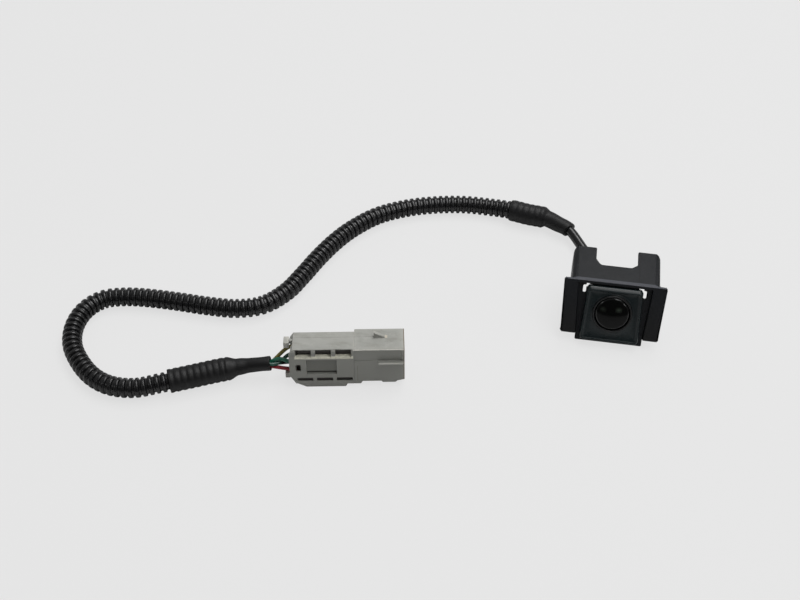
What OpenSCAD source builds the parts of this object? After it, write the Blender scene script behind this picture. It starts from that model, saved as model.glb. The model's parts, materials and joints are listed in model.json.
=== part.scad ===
// Rear view camera with its mounting bracket, lead and plug.
// The camera stands on the edge of its bracket and on the back of its case, with the lens towards -Y
// and tilted up; the lead lies on the same surface and ends in the plug on the left.
// Millimetres, +Z up; the origin is under the middle of the camera and bracket, on the surface.

/* [Bracket face] */
// Width of the face plate
flange_w = 42.5; // [42:0.5:46]
// Height of the face plate along its slope
flange_h = 24.5; // [24:0.5:27]
// Thickness of the bracket's walls
wall = 1.6; // [1.4:0.1:1.8]
// How far the face leans back from upright, in degrees
lean = 25; // [23:1:27]
// Width of the sunken panel that carries the camera
panel_w = 28; // [27.6:0.2:29]
// How far the panel reaches below the face plate
panel_drop = 3.4; // [2.5:0.1:3.8]
// How deep the panel is sunk
panel_depth = 1.7; // [1.5:0.1:1.9]

/* [Bracket hood] */
// Width over the hood's side walls
hood_w = 36.6; // [36:0.2:39]
// Depth of the hood's top behind the face
hood_d = 20.5; // [18:0.5:22]
// Height of the hood's side walls
hood_side_h = 15; // [12:0.5:16]
// Outer radius where the top turns into the side walls
hood_r = 2.6; // [2:0.1:3]
// Width of the notch in the hood's rear edge
notch_w = 17.4; // [16:0.2:18]
// Depth of the notch
notch_d = 10; // [8:0.2:10.4]
// Width of the notch's floor
notch_floor_w = 12.4; // [12:0.2:14]

/* [Camera head] */
// Width of the head at its top
head_w_top = 23; // [22.4:0.1:23.2]
// Width of the head at its bottom
head_w_bottom = 24.6; // [24:0.1:25]
// Height of the head
head_h = 24.2; // [24:0.1:25]
// How far the head stands in front of the face plate
head_proud = 1.8; // [1.4:0.1:2.2]

/* [Camera body] */
// Width of the case behind the panel
body_w = 20; // [19.6:0.1:20.2]
// Height of the case behind the panel
body_h = 17; // [16.6:0.1:17.2]
// Where the case ends, behind the face plate
body_back = 16.5; // [15:0.1:16.5]
// Wall of the case
case_wall = 1.2; // [1:0.1:1.2]
// Height of the lens axis above the face plate's lower edge
axis_v = 11.3; // [11.2:0.1:11.6]
// Diameter of the recess that holds the lens
lens_d = 16.4; // [15.8:0.1:16.4]

/* [Lead] */
// Diameter of the camera's jacketed cable
cable_d = 4.4; // [4:0.1:4.6]
// Outer diameter of the corrugated tube
loom_d = 8.3; // [8:0.1:8.6]
// Diameter of one wire
wire_d = 1.6; // [1.4:0.1:1.7]
// Wall of the heat-shrink sleeves
sleeve_wall = 0.75; // [0.6:0.05:0.8]

/* [Plug] */
// Length of the plug's rear shell
shell_l = 25; // [25:0.5:27]
// Length of the plug's hood
mouth_l = 20.4; // [20:0.2:22]
// Depth of the rear shell, front to back
shell_w = 12.2; // [12:0.1:12.6]
// Height of the rear shell
shell_h = 17.2; // [17:0.1:17.4]
// How much further back the hood reaches than the rear shell
mouth_extra = 1.6; // [1.2:0.1:2]
// Wall of the plug
plug_wall = 1.5; // [1.4:0.1:1.6]
// Travel of the wire holder from locked to released
holder_travel = 1.6; // [1.2:0.1:1.6]

/* [Hidden] */

$fn = 48;
eps = 0.01;

// The face plate's lower edge: its place behind the origin and its height
face_y = -14.23;
face_z = (panel_depth + wall) * sin(lean) + panel_drop * cos(lean);

// Colours
black_plastic = "#383a3c";
head_black = "#23282a";
rubber_black = "#1c1c1c";
glass_dark = "#20242b";
board_green = "#1f5a35";
gold = "#c9a24a";
steel = "#a9abad";
plug_grey = "#a2a29a";

// Places on the camera's tilted frame: x across, y along the lens axis to the rear, v up the face
module on_face() translate([0, face_y, face_z]) rotate([-lean, 0, 0]) children();
function face_point(x, y, v) =
    [x, face_y + y * cos(lean) + v * sin(lean), face_z - y * sin(lean) + v * cos(lean)];

// A solid of revolution about the lens axis, from points [radius, distance behind the face]
module on_axis(profile)
    on_face() translate([0, 0, axis_v]) rotate([-90, 0, 0]) rotate_extrude() polygon(profile);

// A cylinder along the lens axis from y0 to y1, offset by x and v from the axis
module rod(d, y0, y1, x = 0, v = 0)
    translate([x, y0, axis_v + v]) rotate([-90, 0, 0]) cylinder(d = d, h = y1 - y0);

// An outline in the face's plane made into a plate from y0 to y1
module plate(y0, y1) translate([0, y1, 0]) rotate([90, 0, 0]) linear_extrude(y1 - y0) children();

// Points of one rounded corner, counter-clockwise from angle a
function corner(x, y, r, a) = [for (k = [0 : 4]) [x + r * cos(a + k * 22.5), y + r * sin(a + k * 22.5)]];

// A rounded trapezium: half widths at the bottom and the top, from v0 to v1
function trapezium(half0, half1, v0, v1, r) = concat(
    corner(half1 - r, v1 - r, r, 0), corner(-half1 + r, v1 - r, r, 90),
    corner(-half0 + r, v0 + r, r, 180), corner(half0 - r, v0 + r, r, 270));

module rounded_box(w, h, r) polygon(trapezium(w / 2, w / 2, axis_v - h / 2, axis_v + h / 2, r));

// ---- Bracket: face plate, sunken panel and hood, one moulding ----

flange_taper = 0.8;
flange_r = 1.2;
pocket_half = panel_w / 2;
pocket_flare = 1.4;
pocket_top = flange_h - 1.4;
rim = 1;
body_gap = 0.15;
// Slots beside the head's upper corners, and the openings behind the corners that join them
slot = [1.3, 3.5];
slot_x = head_w_top / 2 + 1;
slot_drop = 6.4;
slit = [2.1, 2.3];
slit_x = head_w_top / 2 - 0.65;
slit_drop = 3.7;
// Thickening behind the face plate where the hood's shoulders meet it
root_h = 3.4;
root_t = 0.5;

// The sunken panel's outline, wider at the top, with a margin outside it
module pocket_outline(v0, v1, margin) {
    low = pocket_half + margin;
    high = low + pocket_flare;
    polygon([[-low, v0], [low, v0], [high, v1], [-high, v1]]);
}

module face_plate() {
    difference() {
        union() {
            plate(0, wall)
                polygon(trapezium(flange_w / 2 - flange_taper, flange_w / 2, 0, flange_h, flange_r));
            plate(0, panel_depth + wall) pocket_outline(0, flange_h, rim);
            plate(panel_depth, panel_depth + wall)
                translate([-pocket_half, -panel_drop]) square([panel_w, panel_drop + 1]);
            plate(wall - eps, wall + root_t)
                translate([-hood_w / 2, flange_h - root_h]) square([hood_w, root_h]);
        }
        plate(-1, panel_depth) {
            pocket_outline(0, pocket_top, 0);
            translate([-pocket_half, -panel_drop - 1]) square([panel_w, panel_drop + 1 + eps]);
        }
        plate(0, panel_depth + wall + 1) rounded_box(body_w + 2 * body_gap, body_h + 2 * body_gap, 1.5);
        for (side = [-1, 1]) {
            plate(0, panel_depth + wall + 1)
                translate([side * slot_x - slot[0] / 2, flange_h - slot_drop]) square(slot);
            plate(0, panel_depth + wall + 1)
                translate([side * slit_x - slit[0] / 2, flange_h - slit_drop]) square(slit);
        }
    }
}

hood_top = face_z + flange_h * cos(lean) - 0.4;
hood_y0 = face_y + flange_h * sin(lean);
hood_rear_r = 2.4;

// Seen from behind: an upside down U with round shoulders
function hood_section(half, top, r) = concat(
    [[half, top - hood_side_h]], corner(half - r, top - r, r, 0), corner(-half + r, top - r, r, 90),
    [[-half, top - hood_side_h]]);

// Seen from above: round rear corners and the notch between the two posts
function hood_plan() = let (half = hood_w / 2, rear = hood_y0 + hood_d, floor_y = rear - notch_d) concat(
    [[-half, face_y], [half, face_y]], corner(half - hood_rear_r, rear - hood_rear_r, hood_rear_r, 0),
    [[notch_w / 2, rear], [notch_w / 2, floor_y + 2.1], [notch_floor_w / 2, floor_y],
     [-notch_floor_w / 2, floor_y], [-notch_w / 2, floor_y + 2.1], [-notch_w / 2, rear]],
    corner(-half + hood_rear_r, rear - hood_rear_r, hood_rear_r, 90));

// Seen from the side: the walls start behind the leaning face and rise towards the rear
function hood_profile() = let (low = hood_top - hood_side_h, back = wall / cos(lean)) [
    [face_y + (low - face_z) * tan(lean) + back / 2, low],
    [hood_y0 + hood_d - 7, low], [hood_y0 + hood_d, low + 6.5],
    [hood_y0 + hood_d, hood_top + 1], [hood_y0 + tan(lean) + back / 2, hood_top + 1]];

module hood() {
    intersection() {
        difference() {
            translate([0, hood_y0 + hood_d, 0]) rotate([90, 0, 0]) linear_extrude(hood_d + flange_h)
                polygon(hood_section(hood_w / 2, hood_top, hood_r));
            translate([0, hood_y0 + hood_d + 1, 0]) rotate([90, 0, 0]) linear_extrude(hood_d + flange_h + 2)
                polygon(hood_section(hood_w / 2 - wall, hood_top - wall, hood_r - wall + eps));
        }
        linear_extrude(hood_top + 1) polygon(hood_plan());
        translate([-hood_w, 0, 0]) rotate([90, 0, 90]) linear_extrude(2 * hood_w) polygon(hood_profile());
    }
}

// Two inner rails that steady the camera's case between the hood's walls
module case_rails() {
    for (side = [-1, 1])
        on_face() translate([side * (body_w / 2 + body_gap + 0.6) - 0.6, panel_depth + wall - eps, axis_v - 5])
            cube([1.2, 6, 10]);
}

module bracket() {
    color(black_plastic) {
        on_face() face_plate();
        hood();
        case_rails();
    }
}

// ---- Camera case ----

seat_y = panel_depth;
joint_y = 9;
gasket_t = 0.6;
head_v0 = axis_v - head_h / 2 - 1;
inner_w = body_w - 2 * case_wall;
inner_h = body_h - 2 * case_wall;
case_screw_x = 8.6;
screw_d = 1.4;
case_boss_d = 2.6;
board_screw = [5.9, 5.4];
board_boss_d = 2.8;
board_y = 10;
board_t = 1;
barrel_back = 8.2;
cable_hole_d = 5.9;

module camera_front_case() {
    color(head_black) on_face() difference() {
        union() {
            plate(-head_proud, seat_y)
                polygon(trapezium(head_w_bottom / 2, head_w_top / 2, head_v0, head_v0 + head_h, 1.6));
            plate(seat_y, joint_y) rounded_box(body_w, body_h, 1.5);
            for (x = [-1, 1], v = [-1, 1])
                rod(board_boss_d, joint_y - 2, board_y, x * board_screw[0], v * board_screw[1]);
        }
        rod(lens_d, -head_proud - 1, 0.4);
        rod(13.2, 0, joint_y);
        difference() {
            plate(7, joint_y + eps) rounded_box(inner_w, inner_h, 0.9);
            for (x = [-1, 1], v = [-1, 1])
                rod(board_boss_d, 6, board_y, x * board_screw[0], v * board_screw[1]);
            for (x = [-1, 1]) rod(case_boss_d, 6, joint_y, x * case_screw_x, 0);
        }
        for (x = [-1, 1], v = [-1, 1]) rod(1.4, 6, board_y + 1, x * board_screw[0], v * board_screw[1]);
        for (x = [-1, 1]) rod(screw_d, 4, joint_y + 1, x * case_screw_x, 0);
    }
}

module case_gasket() {
    color(rubber_black) on_face() difference() {
        plate(joint_y, joint_y + gasket_t) rounded_box(body_w - 0.3, body_h - 0.3, 1.4);
        difference() {
            plate(joint_y - 1, joint_y + gasket_t + 1) rounded_box(inner_w, inner_h, 0.9);
            for (x = [-1, 1]) rod(case_boss_d, joint_y - 2, joint_y + gasket_t + 2, x * case_screw_x, 0);
        }
        for (x = [-1, 1]) rod(screw_d + 0.2, joint_y - 1, joint_y + gasket_t + 1, x * case_screw_x, 0);
    }
}

module camera_rear_case() {
    color(black_plastic) on_face() difference() {
        plate(joint_y + gasket_t, body_back) rounded_box(body_w, body_h, 1.5);
        difference() {
            plate(joint_y, body_back - 1.4) rounded_box(inner_w, inner_h, 0.9);
            for (x = [-1, 1]) rod(case_boss_d, joint_y - 1, body_back, x * case_screw_x, 0);
        }
        rod(cable_hole_d, body_back - 3, body_back + 1);
        for (x = [-1, 1]) {
            rod(screw_d + 0.2, joint_y, body_back + 1, x * case_screw_x, 0);
            rod(2.5, body_back - 0.8, body_back + 1, x * case_screw_x, 0);
        }
    }
}

// Screw along the lens axis: the head from y_head backwards, the shank from y_tip to the head
module screw(d, head_d, y_tip, y_head, head_t, x, v) {
    rod(d, y_tip, y_head + eps, x, v);
    difference() {
        rod(head_d, y_head, y_head + head_t, x, v);
        translate([x, y_head + head_t - 0.4, axis_v + v]) rotate([-90, 0, 0])
            cylinder(d = head_d / 2, h = 1, $fn = 6);
    }
}

module case_screws() {
    color(steel) on_face() for (x = [-1, 1])
        screw(screw_d, 2.4, 4.5, body_back - 0.8, 0.7, x * case_screw_x, 0);
}

// ---- Lens ----

ring_inner = lens_d / 2 - 0.75;
element_r = ring_inner - 0.05;

// Front element: flat back with a domed front
dome_y = -head_proud - 1.5;
module lens_front_element() {
    rise = 2;
    dome_r = (element_r * element_r + rise * rise) / (2 * rise);
    span = asin(element_r / dome_r);
    arc = [for (k = [0 : 12]) let (a = span * (1 - k / 12)) [dome_r * sin(a), dome_y + dome_r * (1 - cos(a))]];
    color(glass_dark) on_axis(concat([[0, -1.1], [element_r, -1.1]], arc));
}

module lens_ring() {
    color(head_black)
        on_axis([[ring_inner, -0.4], [lens_d / 2 - 0.05, -0.4], [lens_d / 2 - 0.05, -head_proud - 0.15],
                 [lens_d / 2 - 0.3, -head_proud - 0.4], [ring_inner, -head_proud - 0.4]]);
}

module lens_o_ring() {
    color(rubber_black) on_face() translate([0, -0.75, axis_v]) rotate([-90, 0, 0]) rotate_extrude()
        translate([6.55, 0]) circle(r = 0.35, $fn = 24);
}

barrel_r = 6.5;
barrel_bore = 5.6;
module lens_barrel() {
    color(rubber_black)
        on_axis([[barrel_bore, -0.4], [lens_d / 2 - 0.1, -0.4], [lens_d / 2 - 0.1, 0.4], [barrel_r, 0.4],
                 [barrel_r, barrel_back], [4.6, barrel_back], [4.6, 6.4], [barrel_bore, 6.4]]);
}

module lens_disc(y0, y1, bulge0, bulge1) {
    r = barrel_bore - 0.05;
    front = [for (k = [0 : 8]) let (t = k / 8) [r * t, y0 + bulge0 * t * t]];
    back = [for (k = [0 : 8]) let (t = 1 - k / 8) [r * t, y1 - bulge1 * t * t]];
    color(glass_dark) on_axis(concat(front, back));
}

module lens_middle_element() lens_disc(0.9, 2.8, 0.8, 0);
module lens_rear_element() lens_disc(4.6, 6.4, 0, 0.7);

module lens_spacer() {
    color(rubber_black) on_axis([[4.6, 2.8], [barrel_bore - 0.05, 2.8], [barrel_bore - 0.05, 4.6], [4.6, 4.6]]);
}

module face_block(size, y0, y1, v = 0)
    on_face() translate([-size[0] / 2, y0, axis_v + v - size[1] / 2]) cube([size[0], y1 - y0, size[1]]);

module infrared_filter() color("#7fb0b8") face_block([9.2, 9.2], barrel_back, barrel_back + 0.4);
module image_sensor() color("#30343a") face_block([6.4, 5.2], board_y - 0.9, board_y);
module video_chip() color(rubber_black) face_block([5, 5], board_y + board_t, board_y + board_t + 0.9, 3);
module board_header() color("#d8d4c4") face_block([8, 3], board_y + board_t, board_y + board_t + 1.6, -4);

module camera_board() {
    color(board_green) on_face() difference() {
        translate([-7.2, board_y, axis_v - 6.9]) cube([14.4, board_t, 13.8]);
        for (x = [-1, 1], v = [-1, 1])
            rod(1.6, board_y - 1, board_y + 2, x * board_screw[0], v * board_screw[1]);
    }
}

module board_screws() {
    color(steel) on_face() for (x = [-1, 1], v = [-1, 1])
        screw(1.4, 2.3, 7, board_y + board_t, 0.6, x * board_screw[0], v * board_screw[1]);
}

grommet_end = body_back + 6;
module cable_grommet() {
    bore = cable_d / 2 + 0.02;
    wall_y = body_back - 1.4;
    color(rubber_black)
        on_axis([[bore, wall_y - 1], [3.6, wall_y - 1], [3.6, wall_y], [cable_hole_d / 2, wall_y],
                 [cable_hole_d / 2, body_back], [4.1, body_back], [4.1, body_back + 1.2],
                 [3.5, body_back + 1.6], [2.9, grommet_end], [bore, grommet_end]]);
}

// ---- Lead: tubes swept along hand-set points, each with level rings ----

function heading(p, i) = let (n = len(p) - 1, d = p[min(i + 1, n)] - p[max(i - 1, 0)]) d / norm(d);
function ring_points(p, i, r, sides) =
    let (t = heading(p, i), side = cross(t, [0, 0, 1]) / norm(cross(t, [0, 0, 1])), up = cross(side, t))
    [for (k = [0 : sides - 1]) p[i] + r * (cos(k * 360 / sides) * side + sin(k * 360 / sides) * up)];

// Solid tube of one radius
module solid_tube(p, r, sides = 10) {
    n = len(p);
    skin = [for (i = [0 : n - 2], k = [0 : sides - 1]) let (m = (k + 1) % sides)
        [i * sides + k, (i + 1) * sides + k, (i + 1) * sides + m, i * sides + m]];
    caps = [[for (k = [0 : sides - 1]) k], [for (k = [0 : sides - 1]) n * sides - 1 - k]];
    polyhedron([for (i = [0 : n - 1]) each ring_points(p, i, r, sides)], concat(skin, caps));
}

// Hollow tube with its own outer and inner radius at each point
module hollow_tube(p, outer, inner, sides = 12) {
    n = len(p);
    all = n * sides;
    points = concat([for (i = [0 : n - 1]) each ring_points(p, i, outer[i], sides)],
                    [for (i = [0 : n - 1]) each ring_points(p, i, inner[i], sides)]);
    skin = [for (i = [0 : n - 2], k = [0 : sides - 1]) let (m = (k + 1) % sides)
        [i * sides + k, (i + 1) * sides + k, (i + 1) * sides + m, i * sides + m]];
    bore = [for (i = [0 : n - 2], k = [0 : sides - 1]) let (m = (k + 1) % sides)
        [all + i * sides + m, all + (i + 1) * sides + m, all + (i + 1) * sides + k, all + i * sides + k]];
    ends = [for (k = [0 : sides - 1]) let (m = (k + 1) % sides, e = (n - 1) * sides)
        each [[k, m, all + m, all + k], [e + m, e + k, all + e + k, all + e + m]]];
    polyhedron(points, concat(skin, bore, ends));
}

cable_points = concat(
    [face_point(0, body_back - 2.6, axis_v), face_point(0, body_back + 2, axis_v),
     face_point(0, grommet_end, axis_v)],
    [[-0.5, 15, 3.6], [-3, 21.5, 3.1], [-7.5, 29, 3.3], [-13.5, 38, 4], [-20, 47.6, 4.9], [-26, 51.3, 5.1],
     [-32, 54.4, 5.1]]);

loom_points = [
    [-32, 54.4, 5.1], [-40, 55.5, 5.1], [-48, 57.2, 5], [-57, 58.5, 4.3], [-70, 58.5, 4.2], [-84, 56, 4.2],
    [-97, 51.5, 4.2], [-109, 44.5, 4.2], [-118.5, 34.5, 4.2], [-125, 24.5, 4.2], [-130.5, 13, 4.2],
    [-135, 1.5, 4.2], [-140, -9.5, 4.2], [-148, -18.5, 4.2], [-159, -22.5, 4.2], [-172, -23, 4.2],
    [-186, -22.5, 4.2], [-199, -22.5, 4.2], [-209, -23.5, 4.2], [-217.5, -26.5, 4.2], [-223, -33.5, 4.2],
    [-224.5, -43, 4.2], [-222, -53, 4.2], [-216, -61.5, 4.2], [-208, -68.5, 4.2], [-199, -72, 4.2],
    [-189, -71.8, 4.4], [-179, -68.2, 5.1], [-168, -63.2, 5.2], [-159, -59, 5.3], [-154.2, -57.1, 5.5]];

camera_sleeve_points = [[-20.7, 48.1, 4.9], [-26, 51.3, 5.1], [-31.3, 54.2, 5.1], [-34, 54.8, 5.1],
                        [-40, 55.5, 5.1], [-48, 57.2, 5]];
plug_sleeve_points = [[-176, -66.9, 5.1], [-168, -63.2, 5.2], [-159, -59, 5.3], [-154.2, -57.1, 5.5],
                      [-149.5, -55.7, 6.1], [-145, -54.7, 6.7], [-136.6, -53, 7.6]];

module camera_cable() color(rubber_black) solid_tube(cable_points, cable_d / 2);
module loom_tube() color(rubber_black) solid_tube(loom_points, loom_d / 2);

over_loom = loom_d / 2 + 0.05 + sleeve_wall;
module camera_end_sleeve() {
    bore = cable_d / 2 + 0.05;
    snug = loom_d / 2 + 0.05;
    color(rubber_black) hollow_tube(camera_sleeve_points, [3.5, 3.6, 3.8, over_loom, over_loom, over_loom],
                                    [bore, bore, bore, snug, snug, snug]);
}
module plug_end_sleeve() {
    snug = loom_d / 2 + 0.05;
    color(rubber_black)
        hollow_tube(plug_sleeve_points, [over_loom, over_loom, over_loom, over_loom, 3.4, 2.9, 3],
                    [snug, snug, snug, snug, 2.7, 2.35, 2.4]);
}

// ---- Plug: x along it from its rear end, y across, z up; it lies on its lower rear edge and its rail ----

plug_at = [-127.1, -52.2];
plug_turn = 10;
plug_roll = 10;
front_y = -5.7;
back_y = front_y + shell_w;
plug_lift = back_y * sin(plug_roll);
plug_l = shell_l + mouth_l;
rail_h = 1.78;
rail_w = 2;
rail_x = [5.2, 21.4];
step_h = 0.35;
middle_y = 0.6;
middle_z = shell_h / 2;
pitch_y = 4.4;
pitch_z = 4;

module on_plug()
    translate([plug_at[0], plug_at[1], plug_lift]) rotate([0, 0, plug_turn]) rotate([-plug_roll, 0, 0])
        children();
function plug_point(x, y, z) =
    let (y1 = y * cos(plug_roll) + z * sin(plug_roll), z1 = z * cos(plug_roll) - y * sin(plug_roll))
    [plug_at[0] + x * cos(plug_turn) - y1 * sin(plug_turn),
     plug_at[1] + x * sin(plug_turn) + y1 * cos(plug_turn), plug_lift + z1];

module box(low, high) translate(low) cube(high - low);

// A side outline made into a bar between y0 and y1, and an end outline made into a bar between x0 and x1
module side_bar(y0, y1, outline)
    translate([0, y1, 0]) rotate([90, 0, 0]) linear_extrude(y1 - y0) polygon(outline);
module end_bar(x0, x1, outline)
    translate([x0, 0, 0]) rotate([90, 0, 90]) linear_extrude(x1 - x0) polygon(outline);

cavities = [for (y = [-0.5, 0.5], z = [-1, 0, 1]) [middle_y + y * pitch_y, middle_z + z * pitch_z]];

// The rear shell reaches a little behind the plug's datum
shell_x0 = -1.4;
block_x0 = 1.8;
front_wall = 2;
thin_wall = 0.8;
chamfer = 0.9;
chamfer_x = 24.3;
// Windows in the front wall: the upper row under the chamfered edge, with sloping sills, and the lower row
// over the block's foot
window_step = 8.1;
window_x = [1.25, 7.6];
window_z = [13.5, shell_h - 0.2];
window_slope = 0.4;
low_window_x = [1.45, 8];
low_window_z = [1.2, 2.95];
foot_z = [0.7, 3.4];
side_window_x = [1.2, 3.2];
side_window_z = [6.5, 9.75];
side_pocket_x = [0.9, 4.1];
side_pocket_z = [5.4, 10.15];
// The sunken panel in the front wall, with a slot above its sloping sill
panel_x = [5.55, 17.8];
panel_z = [4.5, 12.2];
panel_sunk = 0.9;
panel_slope = 0.6;
panel_slot_h = 0.7;
// Slots for the wire holder's tabs
tab_slot_x = 1.2;
top_slot_y = [-0.7, 4.1];
low_slot_y = [-2.4, 2];
tab_slot_skin = 0.6;

// Opening in the front wall from its face inwards; its sill rises by slope over its depth
module sloped_window(x, z, slope, depth)
    end_bar(x[0], x[1], [[front_y - 1, z[0] - slope / depth], [front_y + depth, z[0] + slope],
                         [front_y + depth, z[1]], [front_y - 1, z[1]]]);

module plug_rear_shell() {
    top = shell_h - plug_wall;
    inside = back_y - plug_wall;
    color(plug_grey) on_plug() difference() {
        union() {
            side_bar(front_y, back_y, [[shell_x0, 4.2], [1, 0], [shell_l, 0], [shell_l, shell_h], [0.1, shell_h],
                                       [shell_x0, shell_h - 2.2]]);
            // Rail under the front edge, with a lower step towards the hood
            side_bar(front_y, front_y + rail_w, [[0.9, 0.4], [rail_x[0], -rail_h], [rail_x[1], -rail_h],
                                                 [rail_x[1] + 0.7, -step_h], [shell_l, -step_h], [shell_l, 0.4]]);
        }
        end_bar(shell_x0 - 1, chamfer_x, [[front_y - eps, shell_h - chamfer - eps],
                                          [front_y + chamfer + eps, shell_h + eps], [front_y - eps, shell_h + eps]]);
        // The hollow: room for the wire holder, then for the terminal block and its foot
        box([shell_x0 - 1, front_y + plug_wall, plug_wall], [block_x0, inside, top]);
        box([block_x0 - eps, front_y + front_wall, plug_wall], [shell_l + 1, inside, top]);
        box([block_x0 - eps, front_y + thin_wall, foot_z[0]], [shell_l, front_y + front_wall + eps, foot_z[1]]);
        // Slots for the holder's two tabs: through the bottom wall, and under a skin in the top wall
        box([shell_x0 - 1, low_slot_y[0], -1], [tab_slot_x, low_slot_y[1], plug_wall + 1]);
        box([shell_x0 - 1, top_slot_y[0], top - 1], [tab_slot_x, top_slot_y[1], shell_h - tab_slot_skin]);
        for (k = [0 : 2]) translate([k * window_step, 0, 0]) {
            sloped_window(window_x, window_z, window_slope, front_wall + eps);
            box([low_window_x[0], front_y - 1, low_window_z[0]],
                [low_window_x[1], front_y + thin_wall + eps, low_window_z[1]]);
        }
        // The sunken panel and its slot
        sloped_window(panel_x, panel_z, panel_slope, panel_sunk);
        let (slot_z = panel_z[0] + panel_slope)
            box([panel_x[0], front_y + panel_sunk - eps, slot_z],
                [panel_x[1], front_y + front_wall + 1, slot_z + panel_slot_h]);
        // Small window, and the pocket behind it that leaves its wall thin
        box([side_window_x[0], front_y - 1, side_window_z[0]],
            [side_window_x[1], front_y + front_wall + 1, side_window_z[1]]);
        box([side_pocket_x[0], front_y + thin_wall, side_pocket_z[0]],
            [side_pocket_x[1], front_y + front_wall + 1, side_pocket_z[1]]);
    }
}

bulkhead = 6;
mouth_back = back_y + mouth_extra;
mouth_floor = 0.85;
end_rise = 0.8;
collar_x = 27.6;
hood_foot_x = [36.3, 41.8];
hood_foot_z = 0.15;
ramp_x = [33, 38.2];
ramp_y = [2.1, 3.7];
ramp_h = 2.6;
rib_x0 = 34.7;
rib_z = [10.8, 11.5];
rib_out = 1.8;
band = 1.3;
band_sunk = 0.3;

module plug_hood() {
    over_floor = mouth_floor + 0.5;
    color(plug_grey) on_plug() difference() {
        union() {
            side_bar(front_y, mouth_back, [[shell_l, mouth_floor], [plug_l - 3.5, mouth_floor],
                                           [plug_l, mouth_floor + end_rise], [plug_l, shell_h], [shell_l, shell_h]]);
            // Collar round the joint with the rear shell, and the end of the shell's lower rail
            box([shell_l, front_y, 0], [collar_x, back_y, over_floor]);
            side_bar(front_y, front_y + rail_w, [[shell_l, -step_h], [collar_x, -step_h],
                                                 [collar_x + 0.7, mouth_floor], [shell_l, mouth_floor]]);
            // Foot under the mouth
            side_bar(front_y, front_y + rail_w, [[hood_foot_x[0] - 0.5, over_floor], [hood_foot_x[0], hood_foot_z],
                                                 [hood_foot_x[1], hood_foot_z], [hood_foot_x[1] + 1, over_floor]]);
            // Guide rib on the side
            box([rib_x0, front_y - rib_out, rib_z[0]], [plug_l - 0.6, front_y + 1, rib_z[1]]);
            // Locking ramp on the top: upright at the back, sloping down to the mouth
            side_bar(ramp_y[0], ramp_y[1], [[ramp_x[0], shell_h - 0.5], [ramp_x[1], shell_h - 0.5],
                                            [ramp_x[1], shell_h], [ramp_x[0], shell_h + ramp_h]]);
        }
        // Passage for the terminal block, and the mouth
        box([shell_l - 1, front_y + front_wall, plug_wall],
            [shell_l + bulkhead, back_y - plug_wall, shell_h - plug_wall]);
        box([shell_l + bulkhead - eps, front_y + plug_wall, mouth_floor + plug_wall],
            [plug_l + 1, mouth_back - plug_wall, shell_h - plug_wall]);
        // The side above the guide rib is sunk a little, up to a band round the mouth
        box([shell_l - 1, front_y - rib_out - 1, rib_z[1]], [plug_l - band, front_y + band_sunk, shell_h - 0.3]);
    }
}

block_x1 = 31;
cavity_d = 2.2;
module terminal_block() {
    inset = plug_wall + 0.1;
    foot_y = front_y + thin_wall + 0.1;
    color("#4c4844") on_plug() difference() {
        union() {
            box([block_x0, front_y + front_wall + 0.1, inset], [block_x1, back_y - inset, shell_h - inset]);
            // Foot behind the lower windows
            box([block_x0, foot_y, foot_z[0] + 0.1], [shell_l - 0.1, front_y + front_wall - 0.1, foot_z[1] - 0.1]);
            box([block_x0, foot_y, inset + 0.1], [shell_l - 0.1, front_y + front_wall + 0.2, foot_z[1] - 0.1]);
        }
        for (c = cavities) translate([0, c[0], c[1]]) rotate([0, 90, 0]) {
            cylinder(d = cavity_d, h = 26);
            cylinder(d = 0.9, h = 40);
        }
    }
}

crimp_x = 6;
module terminals() {
    color(gold) on_plug() for (c = cavities) translate([0, c[0], c[1]]) rotate([0, 90, 0]) {
        translate([0, 0, crimp_x]) cylinder(d = 1.5, h = 9);
        translate([0, 0, crimp_x + 8]) cylinder(d = 2, h = 11);
        translate([0, 0, crimp_x + 18]) cylinder(d = 0.8, h = 14);
    }
}

// Wire holder: a plate behind the terminal block with one tab through the top wall and one through the bottom
holder_gap = 0.35;
// One millimetre of the plate stays in the shell when it is released
holder_x = [-0.2, holder_travel - 0.2];
holder_bore_d = 2.4;
tab_root = 0.6;
tab_gap = 0.3;
grip_x = shell_x0 - 0.1;
low_grip_end = -3.5;
top_grip_end = -3.7;

// A tab drawn for the bottom wall: its neck runs through the wall, gap above the wall's outer face, and its
// grip stands behind the shell; neck and grip are [low y, high y], grip_z is [low z, high z]
module holder_tab(x_end, gap, neck, grip, grip_z) {
    inset = plug_wall + holder_gap;
    box([grip_x - 0.3, neck[0], gap], [holder_x[1] - tab_root, neck[1], inset + tab_root]);
    box([x_end, grip[0], grip_z[0]], [grip_x, grip[1], grip_z[1]]);
}

module wire_holder() {
    inset = plug_wall + holder_gap;
    color(plug_grey) on_plug() difference() {
        union() {
            box([holder_x[0], front_y + inset, inset], [holder_x[1], back_y - inset, shell_h - inset]);
            holder_tab(low_grip_end, tab_gap, [-1.4, 1.4], [-2.2, 1.8], [0.3, 2.8]);
            translate([0, 0, shell_h]) mirror([0, 0, 1])
                holder_tab(top_grip_end, tab_slot_skin + tab_gap, ramp_y, [-0.5, 3.9], [0, 2.6]);
        }
        for (c = cavities) translate([-1, c[0], c[1]]) rotate([0, 90, 0]) cylinder(d = holder_bore_d, h = 6);
    }
}

// ---- Wires: from inside the sleeve, fanned out to their cavities ----

bundle_r = wire_d / 2 / sin(36) + 0.02;
bundle_start = [-151.5, -56.2, 5.9];
bundle_in = [-139, -53.4, 7.5];
bundle_out = [-136.2, -52.95, 7.7];
fan_x = -1.6;

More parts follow.
